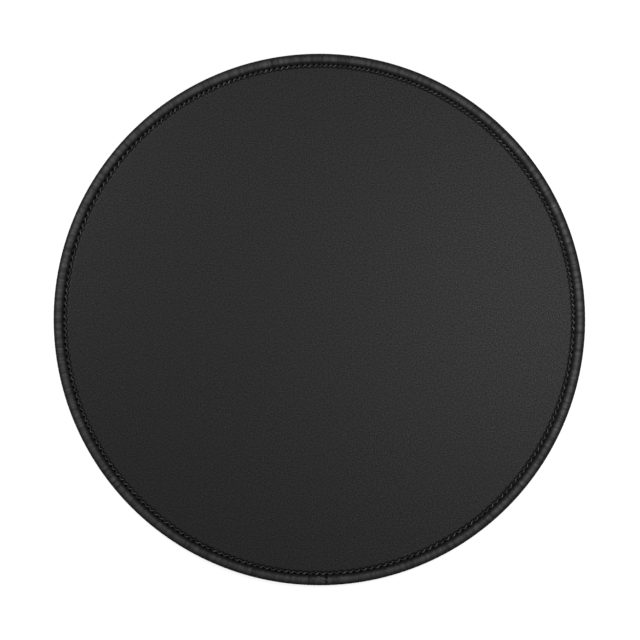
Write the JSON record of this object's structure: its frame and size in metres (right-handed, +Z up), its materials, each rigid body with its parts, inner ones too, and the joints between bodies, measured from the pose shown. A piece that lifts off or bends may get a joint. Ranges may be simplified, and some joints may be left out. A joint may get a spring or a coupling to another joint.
{
  "type": "mouse pad",
  "caption": "Thin round cloth mouse pad on a sponge base, with an overlocked edge of looped thread and a zigzag seam just inside it.",
  "frame": {"origin": "centre of the underside, on the surface that the pad lies on", "axes": "+Z up through the pad's thickness, +Y away from the user, +X to the user's right; the edge stitching starts and ends at -Y"},
  "size_m": [0.22, 0.22, 0.0032],
  "materials": {
    "knit_cloth": "matte",
    "melt_film": "satin",
    "sponge_rubber": "matte",
    "grip_rubber": "matte",
    "needle_yarn": "matte",
    "looper_yarn": "matte"
  },
  "bodies": {
    "root": {"grip_base": "grip_rubber", "rubber_sponge": "sponge_rubber", "adhesive_film": "melt_film", "top_cloth": "knit_cloth", "needle_thread": "needle_yarn", "upper_looper_thread": "looper_yarn", "lower_looper_thread": "looper_yarn"}
  },
  "joints": []
}
